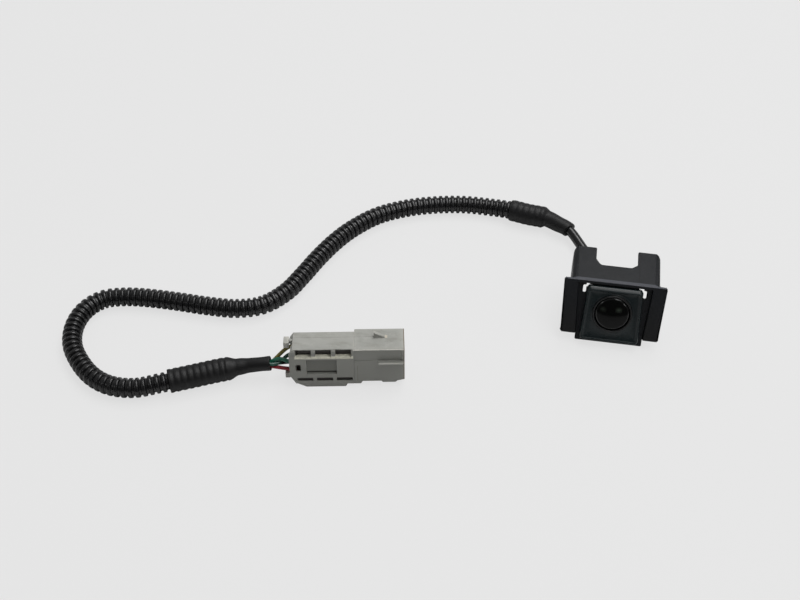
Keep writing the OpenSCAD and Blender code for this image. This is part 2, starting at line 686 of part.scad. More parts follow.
// Places of the five wires round the bundle, by number
function bundled(p, k) = let (t = [0.985, 0.17, 0], side = cross(t, [0, 0, 1]), a = 90 + 72 * k)
    p + bundle_r * (cos(a) * side + sin(a) * [0, 0, 1]);
function wire_points(k, c) = [bundled(bundle_start, k), bundled(bundle_in, k), bundled(bundle_out, k),
                              plug_point(fan_x, c[0], c[1]), plug_point(crimp_x, c[0], c[1])];

module wire(k, c) solid_tube(wire_points(k, c), wire_d / 2, 8);
module wire_green_a() color("#1f6b4f") wire(4, cavities[1]);
module wire_green_b() color("#2a7a55") wire(1, cavities[4]);
module wire_red() color("#a3272b") wire(3, cavities[0]);
module wire_olive() color("#8a7f35") wire(0, cavities[5]);
module wire_black() color(rubber_black) wire(2, cavities[3]);

bracket();
camera_front_case();
camera_rear_case();
case_gasket();
case_screws();
lens_front_element();
lens_ring();
lens_o_ring();
lens_barrel();
lens_middle_element();
lens_spacer();
lens_rear_element();
infrared_filter();
image_sensor();
camera_board();
video_chip();
board_header();
board_screws();
cable_grommet();
camera_cable();
loom_tube();
camera_end_sleeve();
plug_end_sleeve();
plug_rear_shell();
plug_hood();
terminal_block();
terminals();
wire_holder();
wire_green_a();
wire_green_b();
wire_red();
wire_olive();
wire_black();
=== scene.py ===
import json
import math
from bisect import bisect_right

import bmesh
import bpy
from mathutils import Matrix, Vector
from mathutils.bvhtree import BVHTree


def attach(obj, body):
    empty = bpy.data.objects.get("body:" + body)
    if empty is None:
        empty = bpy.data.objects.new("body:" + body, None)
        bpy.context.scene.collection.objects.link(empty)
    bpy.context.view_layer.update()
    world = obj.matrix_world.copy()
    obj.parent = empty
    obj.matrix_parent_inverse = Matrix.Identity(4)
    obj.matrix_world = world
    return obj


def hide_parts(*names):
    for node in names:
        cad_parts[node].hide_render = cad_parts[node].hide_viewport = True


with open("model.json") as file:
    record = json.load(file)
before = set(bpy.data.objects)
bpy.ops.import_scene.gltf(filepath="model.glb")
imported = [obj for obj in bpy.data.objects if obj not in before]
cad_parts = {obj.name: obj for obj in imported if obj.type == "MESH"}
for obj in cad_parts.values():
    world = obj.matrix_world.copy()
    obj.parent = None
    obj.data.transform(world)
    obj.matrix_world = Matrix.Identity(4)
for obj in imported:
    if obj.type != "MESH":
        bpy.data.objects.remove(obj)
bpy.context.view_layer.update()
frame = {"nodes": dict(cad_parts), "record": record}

# Shapes are worked out in millimetres and written to the meshes in metres.
MM = 0.001
NODES = frame["nodes"]
MOUNTS = {mount["name"]: mount for mount in frame["record"]["mounts"]}


# ---- Camera ----

def make_camera():
    data = bpy.data.cameras.new("view")
    data.sensor_width = 36
    data.lens = 54
    data.clip_start = 0.01
    camera = bpy.data.objects.new("view", data)
    camera.location = (-0.03465, -0.3573, 0.385)
    camera.rotation_euler = (math.radians(43), 0, math.radians(9))
    bpy.context.scene.collection.objects.link(camera)
    bpy.context.scene.camera = camera


make_camera()


# ---- Driving dimensions, in millimetres ----

# Camera group: x across, y along the lens axis to the rear, v up the face from the face plate's lower edge.
# PANEL_SEAT is its mount's place in it, and AXIS_V the height of the lens axis.
PANEL_SEAT = (19.5, 1.6, 6)
AXIS_V = 11.3
FACE_H = 24.5
HEAD_HALF_LOW, HEAD_HALF_HIGH = 12.3, 11.5
HEAD_LOW, HEAD_HIGH = -1.8, 22.4
HEAD_CORNER_R = 1.6
CASE_HALF_W, CASE_HALF_H, CASE_CORNER_R = 10, 8.5, 1.5
RECESS_R = 8.2
DOME_R, DOME_BACK = 6.4, -1.1
GROMMET_END = 22.5

# Plug group: x along the plug from its rear end, y across to the rear, z up, rolled by PLUG_ROLL degrees.
# PLUG_MOUTH is its mount's place in it. The hood reaches from HOOD_X to MOUTH_X, the cavities lie round
# MIDDLE_Y and MIDDLE_Z, and the wires run into them from FAN_X to CRIMP_X.
HOOD_X, MOUTH_X = 25, 45.4
FRONT_Y, TOP_Z = -5.7, 17.2
PLUG_MOUTH = (MOUTH_X, 1.2, 9)
PLUG_ROLL = -10
PANEL_X, PANEL_Z = (5.6, 17.75), (4.4, 12.2)
MIDDLE_Y, MIDDLE_Z = 0.6, 8.6
CAVITY_PITCH_Y, CAVITY_PITCH_Z = 4.4, 4
FAN_X, CRIMP_X = -1.6, 6


# ---- Frames of the two tilted groups, from the record's mounts ----

def group_frame(mount, place, turn):
    """Frame of a group that is turned by turn and has the mount at place, in mm."""
    return Matrix.Translation(Vector(mount["pos_m"]) - turn @ (Vector(place) * MM)) @ turn


def camera_frame():
    seat = MOUNTS["panel_seat"]
    lean = Matrix.Rotation(math.atan2(seat["axis"][2], seat["axis"][1]), 4, "X")
    return group_frame(seat, PANEL_SEAT, lean)


def plug_frame():
    mouth = MOUNTS["plug_mouth"]
    yaw = Matrix.Rotation(math.atan2(mouth["axis"][1], mouth["axis"][0]), 4, "Z")
    return group_frame(mouth, PLUG_MOUTH, yaw @ Matrix.Rotation(math.radians(PLUG_ROLL), 4, "X"))


CAMERA = camera_frame()
PLUG = plug_frame()


def in_group(group, x, y, z):
    """The place in the scene, in metres, of a group's own x, y and z in mm."""
    return group @ (Vector((x, y, z)) * MM)


# ---- Material tools ----

def opaque(colour):
    return tuple(colour) + (1,)


def lighter(colour, gain, lift):
    return tuple(min(1.0, c * gain + lift) for c in colour)


def node_at(tree, kind, **values):
    """A shader node whose inputs and settings are given by name."""
    node = tree.nodes.new(kind)
    for name, value in values.items():
        if name in node.inputs:
            node.inputs[name].default_value = value
        else:
            setattr(node, name, value)
    return node


def new_material(name, **shader_values):
    """A material with its tree, its shader and the place on the object that its textures read."""
    material = bpy.data.materials.new(name)
    material.use_nodes = True
    tree = material.node_tree
    shader = tree.nodes["Principled BSDF"]
    for key, value in shader_values.items():
        shader.inputs[key.replace("_", " ")].default_value = value
    place = tree.nodes.new("ShaderNodeTexCoord")
    return material, tree, shader, place.outputs["Object"]


def noise(tree, place, scale, detail=4.0, rough=0.55, stretch=None):
    """Noise whose features are about 1 / scale metres across, stretched along an axis if asked."""
    if stretch:
        mapping = node_at(tree, "ShaderNodeMapping")
        mapping.inputs["Scale"].default_value = stretch
        tree.links.new(place, mapping.inputs["Vector"])
        place = mapping.outputs["Vector"]
    texture = node_at(tree, "ShaderNodeTexNoise", Scale=scale, Detail=detail, Roughness=rough)
    tree.links.new(place, texture.inputs["Vector"])
    return texture.outputs["Fac"]


def ramp(tree, value, low, high, faint=0.0, full=1.0):
    """A share from a value: faint where the value is below low and full where it is above high."""
    node = node_at(tree, "ShaderNodeValToRGB")
    for element, position, share in zip(node.color_ramp.elements, (low, high), (faint, full)):
        element.position = position
        element.color = (share, share, share, 1)
    tree.links.new(value, node.inputs["Fac"])
    return node.outputs["Color"]


def patches(tree, place, scale, low, high, faint=0.0, full=1.0, **character):
    """Noise as a share, by ramp; character is the noise's detail, rough and stretch."""
    return ramp(tree, noise(tree, place, scale, **character), low, high, faint, full)


def spread(tree, value, low, high):
    """A value from 0 to 1 mapped to low to high."""
    node = node_at(tree, "ShaderNodeMapRange")
    node.inputs["To Min"].default_value = low
    node.inputs["To Max"].default_value = high
    tree.links.new(value, node.inputs["Value"])
    return node.outputs["Result"]


def mix(tree, share, a, b):
    """Colour a where share is 0 and b where it is 1; a and b are sockets or colours."""
    node = node_at(tree, "ShaderNodeMix", data_type="RGBA")
    tree.links.new(share, node.inputs[0])
    for value, socket in ((a, node.inputs[6]), (b, node.inputs[7])):
        if isinstance(value, bpy.types.NodeSocket):
            tree.links.new(value, socket)
        else:
            socket.default_value = opaque(value)
    return node.outputs[2]


def marked(tree, base, marks):
    """The base colour with marks laid over it in order; each is (share, colour)."""
    for share, colour in marks:
        base = mix(tree, share, base, colour)
    return base


def placed(tree, place, group):
    """A point's x, y and z in a tilted group's own frame, in metres."""
    mapping = node_at(tree, "ShaderNodeMapping", vector_type="TEXTURE")
    mapping.inputs["Location"].default_value = group.to_translation()
    mapping.inputs["Rotation"].default_value = group.to_euler()
    tree.links.new(place, mapping.inputs["Vector"])
    split = node_at(tree, "ShaderNodeSeparateXYZ")
    tree.links.new(mapping.outputs["Vector"], split.inputs[0])
    return split.outputs


def product(tree, *shares):
    result = shares[0]
    for share in shares[1:]:
        node = node_at(tree, "ShaderNodeMath", operation="MULTIPLY")
        tree.links.new(result, node.inputs[0])
        tree.links.new(share, node.inputs[1])
        result = node.outputs[0]
    return result


def zone(tree, *limits):
    """1 inside all the limits and 0 outside; each is (coordinate, low, high, softness), in mm."""
    shares = []
    for coordinate, low, high, soft in limits:
        for outside, inside in ((low - soft, low), (high + soft, high)):
            node = node_at(tree, "ShaderNodeMapRange")
            node.inputs["From Min"].default_value = outside * MM
            node.inputs["From Max"].default_value = inside * MM
            tree.links.new(coordinate, node.inputs["Value"])
            shares.append(node.outputs["Result"])
    return product(tree, *shares)


def bump(tree, shader, layers):
    """Bump from several heights, each (value, depth in metres)."""
    last = None
    for value, depth in layers:
        node = node_at(tree, "ShaderNodeBump", Strength=1.0, Distance=depth)
        tree.links.new(value, node.inputs["Height"])
        if last:
            tree.links.new(last, node.inputs["Normal"])
        last = node.outputs["Normal"]
    tree.links.new(last, shader.inputs["Normal"])


def edge_wear(tree, low, high):
    """A share that is full on sharp convex edges and 0 elsewhere."""
    geometry = node_at(tree, "ShaderNodeNewGeometry")
    return ramp(tree, geometry.outputs["Pointiness"], low, high)


# ---- Plastics ----

def moulded_plastic(name, colour, light, rough, grain=0.00003, dust=0.0, spec=0.5, paint=None):
    """Moulded plastic: fine grain, soft shade and gloss changes and faint scuffs. paint(tree, place, base)
    may add marks and wear, and painted light and shade, to the base colour."""
    material, tree, shader, place = new_material(name, Specular_IOR_Level=spec)
    shade = patches(tree, place, 90, 0.3, 0.7, detail=3)
    fine = noise(tree, place, 4200, detail=2)
    scuffs = patches(tree, place, 260, 0.56, 0.68, detail=6, rough=0.7, stretch=(1, 4, 1.5))
    base = mix(tree, shade, colour, light)
    if dust:
        powder = patches(tree, place, 700, 0.45, 0.75, full=dust, detail=8, rough=0.75)
        base = mix(tree, powder, base, lighter(light, 2.2, 0.03))
    if paint:
        base = paint(tree, place, base)
    tree.links.new(base, shader.inputs["Base Color"])
    gloss = patches(tree, place, 500, 0.3, 0.7)
    tree.links.new(spread(tree, gloss, rough - 0.05, rough + 0.06), shader.inputs["Roughness"])
    bump(tree, shader, [(fine, grain), (scuffs, -grain / 3)])
    return material


def insulation(name, colour):
    return moulded_plastic(name, colour, lighter(colour, 1.35, 0.004), 0.3, grain=0.000006)


def plug_wear_and_painted_light(tree, place, base):
    """Stains, worn edges and marks of the grey plug, and painted shade and light, by their place in the
    plug's own frame.
    """
    x, y, z = placed(tree, place, PLUG)
    stains = patches(tree, place, 150, 0.47, 0.71, full=0.58, detail=6, rough=0.65, stretch=(1, 2.5, 1))
    rubbed = patches(tree, place, 230, 0.54, 0.7, full=0.55, detail=5, rough=0.7)
    specks = patches(tree, place, 620, 0.66, 0.73, full=0.45, detail=3, rough=0.7)
    patchy = patches(tree, place, 420, 0.25, 0.6, faint=0.35)
    faint = patches(tree, place, 380, 0.35, 0.6, faint=0.25, full=0.8, detail=3)

    # Painted shade: the front face is made darker than the top.
    front = zone(tree, (y, FRONT_Y - 1.3, FRONT_Y + 0.6, 0.2))
    # Painted shade: the recessed panel is made darker.
    panel = zone(tree, (x, *PANEL_X, 0.1), (y, FRONT_Y + 0.5, FRONT_Y + 2.7, 0.2), (z, *PANEL_Z, 0.1))
    # Painted light: the window sills are made pale in patches, as if lit from above.
    painted_sill_light = zone(tree, (x, 1, HOOD_X - 0.4, 0.1), (y, FRONT_Y - 0.3, FRONT_Y + 1.8, 0.2),
                 (z, 12.95, 14.1, 0.25))
    # Painted highlight: a pale line in patches along the hood's front top edge.
    painted_hood_edge_highlight = zone(tree, (x, HOOD_X - 0.4, MOUTH_X - 0.2, 0.1), (y, FRONT_Y - 0.3, FRONT_Y + 0.4, 0.15),
                     (z, TOP_Z - 0.3, TOP_Z + 0.2, 0.15))
    ramp_tip = zone(tree, (x, 37.7, 38.4, 0.4), (y, 2, 3.8, 0.1), (z, TOP_Z + 0.05, TOP_Z + 1, 0.1))
    top_seam = zone(tree, (x, 0.5, 33, 0.5), (y, 2.86, 3.0, 0.1), (z, TOP_Z - 0.2, TOP_Z + 0.3, 0.1))
    scratch = zone(tree, (x, 26.15, 26.35, 0.12), (y, FRONT_Y - 0.3, FRONT_Y + 0.4, 0.1), (z, 1.5, 8.6, 0.8))
    lip = zone(tree, (x, MOUTH_X - 0.28, MOUTH_X + 0.6, 0.12))
    return marked(tree, base, [
        (stains, (0.235, 0.23, 0.195)),
        (rubbed, (0.47, 0.468, 0.435)),
        (specks, (0.14, 0.13, 0.10)),
        (edge_wear(tree, 0.52, 0.6), (0.56, 0.55, 0.50)),
        # Painted shade: the darker front and panel.
        (product(tree, front, front), (0.262, 0.264, 0.24)),
        (panel, (0.168, 0.17, 0.151)),
        # Painted light: pale sills and a pale highlight along the hood's edge.
        (product(tree, painted_sill_light, patchy), (0.78, 0.76, 0.63)),
        (product(tree, painted_hood_edge_highlight, patchy), (0.62, 0.605, 0.55)),
        (ramp_tip, (0.55, 0.5, 0.41)),
        (product(tree, top_seam, faint), (0.17, 0.165, 0.14)),
        (product(tree, scratch, faint), (0.17, 0.165, 0.14)),
        (lip, (0.17, 0.13, 0.085))])


def bracket_painted_light_and_seam(tree, place, base):
    """Soft painted shade on the face plate's wings towards their foot, in a colour close to the plastic's
    own; a painted highlight on its pale top edge; and a faint moulding line along the hood's top."""
    x, y, v = placed(tree, place, CAMERA)
    # Painted shade on the wings towards their foot, in a colour close to the plastic's own.
    foot = zone(tree, (v, -4, 3, 14), (y, -0.5, 1.5, 0.2))
    # Painted highlight: the pale top edge of the face plate.
    top_edge_highlight = zone(tree, (v, FACE_H - 0.2, FACE_H + 1.5, 0.1), (y, -0.6, 1.8, 0.1))
    hood_seam = zone(tree, (x, 9.4, 9.55, 0.12), (y, 2.5, 40, 0.3), (v, 14, 40, 0.3))
    return marked(tree, base, [
        (foot, (0.0105, 0.0107, 0.0112)),
        (top_edge_highlight, (0.075, 0.078, 0.09)),
        (hood_seam, (0.006, 0.006, 0.0065))])


# ---- Glass and metal ----

def make_glass(name, tint):
    material, tree, shader, place = new_material(name, IOR=1.5, Transmission_Weight=1.0)
    tree.links.new(spread(tree, noise(tree, place, 300), 0.0, 0.015), shader.inputs["Roughness"])
    shader.inputs["Base Color"].default_value = opaque(tint)
    return material


def make_coated_glass(name):
    """Dark glass whose coating throws back a dim greenish light."""
    material, tree, shader, place = new_material(name, Specular_IOR_Level=0.12,
                                                 Specular_Tint=(0.75, 1, 0.85, 1))
    haze = noise(tree, place, 400)
    base = mix(tree, haze, (0.001, 0.0014, 0.0012), (0.002, 0.0025, 0.0022))
    tree.links.new(base, shader.inputs["Base Color"])
    tree.links.new(spread(tree, haze, 0.14, 0.22), shader.inputs["Roughness"])
    return material


def make_edge_glass(name):
    """The dome's polished edge, without the coating."""
    material, tree, shader, place = new_material(name, Specular_IOR_Level=0.5)
    shader.inputs["Base Color"].default_value = (0.0018, 0.0019, 0.0018, 1)
    tree.links.new(spread(tree, noise(tree, place, 300), 0.12, 0.16), shader.inputs["Roughness"])
    return material


def make_dark_glass(name):
    """The front dome: very dark glass behind its coating, with two dim greenish reflections painted into its
    colour.
    """
    material, tree, shader, place = new_material(name, Specular_IOR_Level=0.13)
    x, y, v = placed(tree, place, CAMERA)
    haze = noise(tree, place, 300)
    base = mix(tree, haze, (0.0016, 0.0017, 0.0016), (0.0024, 0.0026, 0.0024))
    # Painted reflections: two dim greenish spots laid into the dome's base colour.
    core, soft_x, soft_v = 0.1, 1.5, 1.2
    for across, above, colour in ((-4.1, 2.1, (0.018, 0.022, 0.017)), (2.4, 2.4, (0.034, 0.042, 0.033))):
        middle = AXIS_V + above
        glow = zone(tree, (x, across - core, across + core, soft_x),
                    (v, middle - core, middle + core, soft_v))
        base = mix(tree, glow, base, colour)
    tree.links.new(base, shader.inputs["Base Color"])
    tree.links.new(spread(tree, haze, 0.13, 0.17), shader.inputs["Roughness"])
    return material


def make_metal(name, colour, rough):
    material, tree, shader, place = new_material(name, Metallic=1.0)
    fine = noise(tree, place, 1500)
    tree.links.new(mix(tree, fine, tuple(c * 0.85 for c in colour), colour), shader.inputs["Base Color"])
    tree.links.new(spread(tree, fine, rough - 0.08, rough + 0.12), shader.inputs["Roughness"])
    bump(tree, shader, [(fine, 0.000008)])
    return material


# ---- The object's materials ----

bracket_black = moulded_plastic("bracket_black", (0.0085, 0.0096, 0.0115), (0.011, 0.0124, 0.0146), 0.46,
                                dust=0.03, spec=0.23, paint=bracket_painted_light_and_seam)
head_black = moulded_plastic("head_black", (0.0056, 0.0104, 0.0116), (0.0074, 0.0132, 0.0146), 0.3,
                             grain=0.000012, spec=0.34)
ring_black = moulded_plastic("ring_black", (0.004, 0.0045, 0.005), (0.005, 0.0055, 0.006), 0.4,
                             grain=0.000012)
case_black = moulded_plastic("case_black", (0.010, 0.010, 0.011), (0.014, 0.014, 0.015), 0.45)
barrel_black = moulded_plastic("barrel_black", (0.002, 0.002, 0.002), (0.003, 0.003, 0.003), 0.7, spec=0.2)
loom_black = moulded_plastic("loom_black", (0.0042, 0.0043, 0.0048), (0.006, 0.0061, 0.0066), 0.27,
                             grain=0.000006)
sleeve_black = moulded_plastic("sleeve_black", (0.004, 0.004, 0.0044), (0.0056, 0.0056, 0.006), 0.5,
                               grain=0.000015, spec=0.35)
rubber_black = moulded_plastic("rubber_black", (0.0065, 0.0065, 0.0065), (0.009, 0.009, 0.009), 0.62)
jacket_black = moulded_plastic("jacket_black", (0.004, 0.004, 0.0045), (0.0055, 0.0055, 0.006), 0.22,
                               grain=0.000003)
plug_grey = moulded_plastic("plug_grey", (0.35, 0.352, 0.324), (0.392, 0.394, 0.366), 0.42,
                            paint=plug_wear_and_painted_light)
block_dark = moulded_plastic("block_dark", (0.040, 0.036, 0.033), (0.056, 0.051, 0.046), 0.5)
board_green = moulded_plastic("board_green", (0.012, 0.09, 0.032), (0.018, 0.12, 0.045), 0.3)
chip_black = moulded_plastic("chip_black", (0.016, 0.016, 0.017), (0.02, 0.02, 0.021), 0.5)
header_cream = moulded_plastic("header_cream", (0.62, 0.59, 0.48), (0.7, 0.67, 0.56), 0.45)
insulation_green = insulation("insulation_green", (0.010, 0.105, 0.062))
insulation_dark_green = insulation("insulation_dark_green", (0.007, 0.062, 0.040))
insulation_red = insulation("insulation_red", (0.24, 0.016, 0.02))
insulation_olive = insulation("insulation_olive", (0.17, 0.14, 0.03))
insulation_black = insulation("insulation_black", (0.010, 0.009, 0.009))
lens_glass = make_glass("lens_glass", (0.8, 0.82, 0.84))
filter_glass = make_glass("filter_glass", (0.35, 0.75, 0.8))
coated_glass = make_coated_glass("coated_glass")
dark_glass = make_dark_glass("dark_glass")
edge_glass = make_edge_glass("edge_glass")
screw_steel = make_metal("screw_steel", (0.62, 0.62, 0.63), 0.32)
terminal_metal = make_metal("terminal_metal", (0.78, 0.66, 0.38), 0.3)

# CAD nodes that show as they are
NODE_MATERIALS = {
    "case_gasket": rubber_black, "case_screws": screw_steel, "lens_o_ring": barrel_black,
    "lens_barrel": barrel_black, "lens_spacer": barrel_black, "lens_rear_element": lens_glass,
    "infrared_filter": filter_glass, "image_sensor": chip_black, "camera_board": board_green,
    "video_chip": chip_black, "board_header": header_cream, "board_screws": screw_steel,
    "terminal_block": block_dark, "terminals": terminal_metal}
for node, material in NODE_MATERIALS.items():
    NODES[node].data.materials.clear()
    NODES[node].data.materials.append(material)


# ---- Mesh tools ----

# An edge of a CAD node is rounded as a gentle one where it turns by more than GENTLE degrees, and as a sharp
# one above SHARP. A bevel takes up to ROOM_SHARE of the faces beside it, and may stand off the CAD surface by
# BULGE of the widest bevel's width.
GENTLE, SHARP = 12, 30
ROOM_SHARE = 0.42
BULGE = 0.35
WELD = 0.002 * MM
FLAT = math.radians(0.6)


def finish_mesh(piece, material, body):
    piece.data.materials.clear()
    piece.data.materials.append(material)
    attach(piece, body)
    return piece


def new_piece(name, points, faces, material, smooth=35):
    """A mesh piece on the root body, from points in metres; edges above smooth degrees stay sharp."""
    mesh = bpy.data.meshes.new(name)
    mesh.from_pydata([tuple(p) for p in points], [], faces)
    shape = bmesh.new()
    shape.from_mesh(mesh)
    bmesh.ops.recalc_face_normals(shape, faces=shape.faces)
    shape.to_mesh(mesh)
    shape.free()
    mesh.shade_smooth()
    mesh.set_sharp_from_angle(angle=math.radians(smooth))
    piece = bpy.data.objects.new(name, mesh)
    bpy.context.scene.collection.objects.link(piece)
    return finish_mesh(piece, material, "root")


def apply_modifiers(piece):
    bpy.context.view_layer.update()
    ready = piece.evaluated_get(bpy.context.evaluated_depsgraph_get())
    mesh = bpy.data.meshes.new_from_object(ready)
    piece.modifiers.clear()
    piece.data = mesh


def distance_to_edge(point, edge):
    """Distance from a point to the nearest point of an edge."""
    a, b = (vert.co for vert in edge.verts)
    along_edge = b - a
    share = (point - a).dot(along_edge) / along_edge.length_squared
    return (a + along_edge * min(1.0, max(0.0, share)) - point).length


def heading_of(edge):
    return (edge.verts[1].co - edge.verts[0].co).normalized()


def room_at(edge):
    """How far the two faces beside an edge reach before their next edge."""
    middle = (edge.verts[0].co + edge.verts[1].co) / 2
    room = math.inf
    for face in edge.link_faces:
        for other in face.edges:
            if not set(other.verts) & set(edge.verts):
                room = min(room, distance_to_edge(middle, other))
            elif other != edge and abs(heading_of(edge).dot(heading_of(other))) < 0.8:
                room = min(room, other.calc_length())
    return room


def pull_back(piece, node, furthest):
    """Puts the few points that a bevel's corner throws well past the CAD surface back on it."""
    solid = NODES[node].data
    corners = [vert.co for vert in solid.vertices]
    surface = BVHTree.FromPolygons(corners, [tuple(face.vertices) for face in solid.polygons])
    for vert in piece.data.vertices:
        nearest, normal, _, distance = surface.find_nearest(vert.co)
        if distance > furthest and (vert.co - nearest).dot(normal) > 0:
            vert.co = nearest


def bevelled(node, name, width, material, body="root", soft=0.5):
    """A copy of a CAD node with its flat faces joined and its edges rounded; it stands for the node. Sharp
    edges are rounded by width and the gentle ones between the facets of a curve by soft, both in mm, or by
    less where a face is narrow."""
    shape = bmesh.new()
    shape.from_mesh(NODES[node].data)
    bmesh.ops.remove_doubles(shape, verts=shape.verts, dist=WELD)
    bmesh.ops.dissolve_limit(shape, angle_limit=FLAT, verts=shape.verts, edges=shape.edges)
    bmesh.ops.connect_verts_concave(shape, faces=shape.faces)
    weight = shape.edges.layers.float.new("bevel_weight_edge")
    widest = max(width, soft) * MM
    for edge in shape.edges:
        if len(edge.link_faces) == 2:
            angle = math.degrees(edge.calc_face_angle())
            if angle > GENTLE:
                wanted = (width if angle > SHARP else soft) * MM
                edge[weight] = min(wanted, ROOM_SHARE * room_at(edge)) / widest
    mesh = bpy.data.meshes.new(name)
    shape.to_mesh(mesh)
    shape.free()
    mesh.shade_smooth()
    piece = bpy.data.objects.new(name, mesh)
    bpy.context.scene.collection.objects.link(piece)
    rounding = piece.modifiers.new("round edges", "BEVEL")
    rounding.width = widest
    rounding.segments = 3
    rounding.limit_method = "WEIGHT"
    rounding.use_clamp_overlap = False
    rounding.miter_outer = "MITER_ARC"
    flatness = piece.modifiers.new("flat faces", "WEIGHTED_NORMAL")
    flatness.weight = 100
    flatness.thresh = 0.001
    apply_modifiers(piece)
    pull_back(piece, node, BULGE * widest)
    finish_mesh(piece, material, body)
    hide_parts(node)
    return piece


# ---- Steps, turns and eased values ----

def steps(a, b, count):
    """count + 1 evenly spaced values from a to b."""
    return [a + (b - a) * k / count for k in range(count + 1)]


def turns(count):
    """count evenly spaced angles of a full turn."""
    return [2 * math.pi * k / count for k in range(count)]


def arc(centre, radius, start, end, count):
    """Points on an arc, count + 1 of them; the angles are in degrees."""
    angles = [math.radians(a) for a in steps(start, end, count)]
    return [(centre[0] + radius * math.cos(a), centre[1] + radius * math.sin(a)) for a in angles]


def smooth_step(t):
    t = min(1.0, max(0.0, t))
    return t * t * (3 - 2 * t)


def along(s, stops):
    """A value that eases from stop to stop; each stop is (distance, value)."""
    for (s0, v0), (s1, v1) in zip(stops, stops[1:]):
        if s <= s1:
            return v0 + (v1 - v0) * smooth_step((s - s0) / (s1 - s0))
    return stops[-1][1]


# ---- Centrelines and swept shapes ----

def curve_through(points, step):
    """Points about a step apart on a Catmull-Rom curve through the given ones, ends included."""
    p = [Vector(q) for q in points]
    p = [2 * p[0] - p[1]] + p + [2 * p[-1] - p[-2]]
    line = []
    for a, b, c, d in zip(p, p[1:], p[2:], p[3:]):
        count = max(2, round((c - b).length / step))
        for k in range(count):
            t = k / count
            line.append(0.5 * (2 * b + (c - a) * t + (2 * a - 5 * b + 4 * c - d) * t * t
                               + (3 * b - a - 3 * c + d) * t ** 3))
    return line + [p[-2]]


class Line:
    """A dense centreline in metres that can be read by distance along it."""

    def __init__(self, points, step=0.5 * MM):
        self.points = curve_through(points, step)
        self.at = [0.0]
        for a, b in zip(self.points, self.points[1:]):
            self.at.append(self.at[-1] + (b - a).length)
        self.length = self.at[-1]

    def point(self, s):
        i = min(max(bisect_right(self.at, s) - 1, 0), len(self.at) - 2)
        t = (s - self.at[i]) / (self.at[i + 1] - self.at[i])
        return self.points[i].lerp(self.points[i + 1], t)

    def frame(self, s):
        """Point, heading, level side and up at a distance; past the ends the line runs straight on."""
        reach = 1.2 * MM
        heading = (self.point(min(self.length, s + reach)) - self.point(max(0.0, s - reach))).normalized()
        side = heading.cross(Vector((0, 0, 1))).normalized()
        on_line = min(max(s, 0.0), self.length)
        return self.point(on_line) + heading * (s - on_line), heading, side, side.cross(heading)

    def near(self, target):
        """Distance along the line of its point nearest to a target."""
        best = min(range(len(self.points)), key=lambda i: (self.points[i] - Vector(target)).length)
        return self.at[best]

    def part(self, s0, s1):
        """Points about 2 mm apart from one distance to another."""
        return [self.point(s) for s in steps(s0, s1, max(2, round((s1 - s0) / (2 * MM))))]


def sweep(name, line, profile, angles, material, swell=None, ends="capped", smooth=35):
    """A skin of rings round a line. The profile is a list of (distance, radius); swell(s, angle, r) may
    change a radius, and gives (r, squash of the height) back. Ends: capped, or joined into a closed loop."""
    points = []
    for s, r in profile:
        at, _, side, up = line.frame(s)
        for a in angles:
            radius, height = swell(s, a, r) if swell else (r, 1.0)
            points.append(at + radius * (math.cos(a) * side + height * math.sin(a) * up))
    n, rings = len(angles), len(profile)
    faces = []
    for i in range(rings if ends == "joined" else rings - 1):
        j = (i + 1) % rings
        for k in range(n):
            m = (k + 1) % n
            faces.append((i * n + k, i * n + m, j * n + m, j * n + k))
    if ends == "capped":
        faces.append(tuple(range(n)))
        faces.append(tuple(range((rings - 1) * n, rings * n)))
    return new_piece(name, points, faces, material, smooth=smooth)


def ringed(s0, s1, step, radius):
    """A profile with rings about a step apart from s0 to s1, either way, of radius(distance)."""
    count = max(2, round(abs(s1 - s0) / step))
    return [(s, radius(s)) for s in steps(s0, s1, count)]


# ---- The lead ----

CABLE_R = 2.2 * MM
LOOM_R = 4.15 * MM
WIRE_R = 0.8 * MM
SLEEVE_R = 4.95 * MM
RIB_PITCH = 2.67 * MM
RIB_DEPTH = 0.85 * MM
LOOM_WALL = 0.5 * MM

# Its route, repeated from the CAD source, in metres
GROMMET_POINTS = [in_group(CAMERA, 0, y, AXIS_V) for y in (13.9, 18.5, GROMMET_END)]
CABLE_POINTS = [
    (-0.0005, 0.0150, 0.0036), (-0.0030, 0.0215, 0.0031), (-0.0075, 0.0290, 0.0033),
    (-0.0135, 0.0380, 0.0040), (-0.0200, 0.0476, 0.0049), (-0.0260, 0.0513, 0.0051),
    (-0.0320, 0.0544, 0.0051)]
LOOM_POINTS = [
    (-0.0320, 0.0544, 0.0051), (-0.0400, 0.0555, 0.0051), (-0.0480, 0.0572, 0.0050),
    (-0.0570, 0.0585, 0.0043), (-0.0700, 0.0585, 0.0042), (-0.0840, 0.0560, 0.0042),
    (-0.0970, 0.0515, 0.0042), (-0.1090, 0.0445, 0.0042), (-0.1185, 0.0345, 0.0042),
    (-0.1250, 0.0245, 0.0042), (-0.1305, 0.0130, 0.0042), (-0.1350, 0.0015, 0.0042),
    (-0.1400, -0.0095, 0.0042), (-0.1480, -0.0185, 0.0042), (-0.1590, -0.0225, 0.0042),
    (-0.1720, -0.0230, 0.0042), (-0.1860, -0.0225, 0.0042), (-0.1990, -0.0225, 0.0042),
    (-0.2090, -0.0235, 0.0042), (-0.2175, -0.0265, 0.0042), (-0.2230, -0.0335, 0.0042),
    (-0.2245, -0.0430, 0.0042), (-0.2220, -0.0530, 0.0042), (-0.2160, -0.0615, 0.0042),
    (-0.2080, -0.0685, 0.0042), (-0.1990, -0.0720, 0.0042), (-0.1890, -0.0718, 0.0044),
    (-0.1790, -0.0682, 0.0051), (-0.1680, -0.0632, 0.0052), (-0.1590, -0.0590, 0.0053),
    (-0.1542, -0.0571, 0.0055)]
